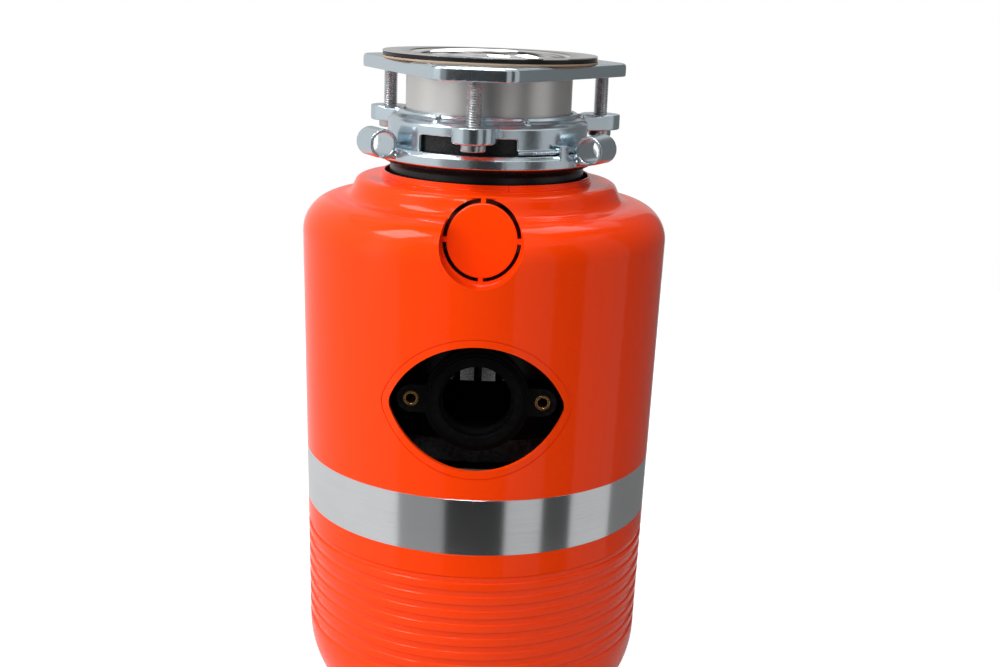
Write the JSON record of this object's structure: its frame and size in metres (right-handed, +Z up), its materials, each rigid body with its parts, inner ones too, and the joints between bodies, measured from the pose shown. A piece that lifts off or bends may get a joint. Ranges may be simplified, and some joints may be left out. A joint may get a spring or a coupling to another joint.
{
  "type": "kitchen waste disposer",
  "caption": "Under-sink food waste disposer: orange cylindrical housing with a brushed band, clamped sink flange on top, discharge outlet in a lens-shaped window and a knock-out above it.",
  "frame": {"origin": "centre of the base, on the surface that the feet stand on", "axes": "+Z up along the motor axis; the discharge outlet and the knock-out face -Y; +X is to the right seen from the front"},
  "size_m": [0.1966, 0.1964, 0.372],
  "materials": {
    "polished_steel": "mirror-polished stainless steel flange, satin sleeve",
    "black_rubber": "matt moulded rubber",
    "tan_fibre": "pressed fibre gasket board",
    "zinc_plate": "bright bluish zinc plating on pressed steel and die castings",
    "screw_steel": "plated steel screws",
    "spring_steel": "spring wire",
    "orange_gloss": "gloss orange moulded plastic",
    "brushed_band": "brushed aluminium strip",
    "black_plastic": "satin black glass-filled plastic",
    "brass": "turned brass",
    "stainless": "stainless steel",
    "shaft_steel": "ground carbon steel",
    "core_steel": "laminated electrical steel",
    "copper": "varnished copper wire",
    "cast_alloy": "die-cast aluminium alloy",
    "capacitor_can": "drawn aluminium can",
    "reset_red": "red moulded plastic",
    "grey_foam": "open-cell sound foam"
  },
  "bodies": {
    "machine": {"sink_flange": "polished_steel", "rim_gasket": "black_rubber", "snap_ring": "spring_steel", "mounting_ring": "zinc_plate", "mounting_gasket": "black_rubber", "splash_baffle": "black_rubber", "neck_collar": "black_rubber", "upper_housing": "orange_gloss", "trim_band": "brushed_band", "lower_housing": "orange_gloss", "grind_chamber": "stainless", "chamber_gasket": "black_rubber", "rim_bolts": "screw_steel", "drain_chamber": "black_plastic", "outlet_inserts": "brass", "grind_ring": "stainless", "shaft_seal": "black_rubber", "upper_bearing": "shaft_steel", "lower_bearing": "shaft_steel", "stator_core": "core_steel", "stator_windings": "copper", "upper_end_frame": "cast_alloy", "lower_end_frame": "cast_alloy", "through_bolts": "screw_steel", "base_cover": "black_plastic", "base_screws": "screw_steel", "rubber_feet": "black_rubber", "overload_protector": "black_plastic", "cord_gland": "black_rubber", "terminal_block": "black_plastic", "run_capacitor": "capacitor_can", "capacitor_clip": "screw_steel", "sound_insulation": "grey_foam"},
    "clamp": {"backup_flange": "zinc_plate", "fibre_gasket": "tan_fibre"},
    "screw_1": {"mounting_screw_1": "screw_steel"},
    "screw_2": {"mounting_screw_2": "screw_steel"},
    "screw_3": {"mounting_screw_3": "screw_steel"},
    "swivel": {"swivel_ring": "zinc_plate"},
    "rotor": {"motor_shaft": "shaft_steel", "rotor_core": "core_steel", "turntable": "stainless", "turntable_nut": "screw_steel", "impeller_pins": "stainless"},
    "impeller_a": {"impeller_1": "stainless"},
    "impeller_b": {"impeller_2": "stainless"},
    "button": {"reset_button": "reset_red"}
  },
  "joints": [
    {"name": "clamp_slide", "type": "slide", "parent": "machine", "child": "clamp", "axis": [0, 0, -1], "range_m": [0, 0.016]},
    {"name": "screw_1_turn", "type": "hinge", "parent": "clamp", "child": "screw_1", "pos_m": [-0.00594, -0.06794, 0.345], "axis": [0, 0, -1], "range_deg": [0, 4680]},
    {"name": "screw_2_turn", "type": "hinge", "parent": "clamp", "child": "screw_2", "pos_m": [0.06181, 0.02882, 0.345], "axis": [0, 0, -1], "range_deg": [0, 4680]},
    {"name": "screw_3_turn", "type": "hinge", "parent": "clamp", "child": "screw_3", "pos_m": [-0.05587, 0.03912, 0.345], "axis": [0, 0, -1], "range_deg": [0, 4680]},
    {"name": "swivel_lock", "type": "hinge", "parent": "machine", "child": "swivel", "pos_m": [0, 0, 0.319], "axis": [0, 0, 1], "range_deg": [-40, 0]},
    {"name": "rotor_spin", "type": "hinge", "parent": "machine", "child": "rotor", "pos_m": [0, 0, 0.1], "axis": [0, 0, 1], "continuous": true},
    {"name": "impeller_1_swing", "type": "hinge", "parent": "rotor", "child": "impeller_a", "pos_m": [0.044, 0, 0.224], "axis": [0, 0, 1], "continuous": true},
    {"name": "impeller_2_swing", "type": "hinge", "parent": "rotor", "child": "impeller_b", "pos_m": [-0.044, 0, 0.224], "axis": [0, 0, 1], "continuous": true},
    {"name": "reset_trip", "type": "slide", "parent": "machine", "child": "button", "axis": [0, 0, -1], "range_m": [0, 0.003]}
  ],
  "couplings": [
    {"joint": "screw_1_turn", "follows": "clamp_slide", "rad_per_m": 5026.5},
    {"joint": "screw_2_turn", "follows": "clamp_slide", "rad_per_m": 5026.5},
    {"joint": "screw_3_turn", "follows": "clamp_slide", "rad_per_m": 5026.5}
  ]
}
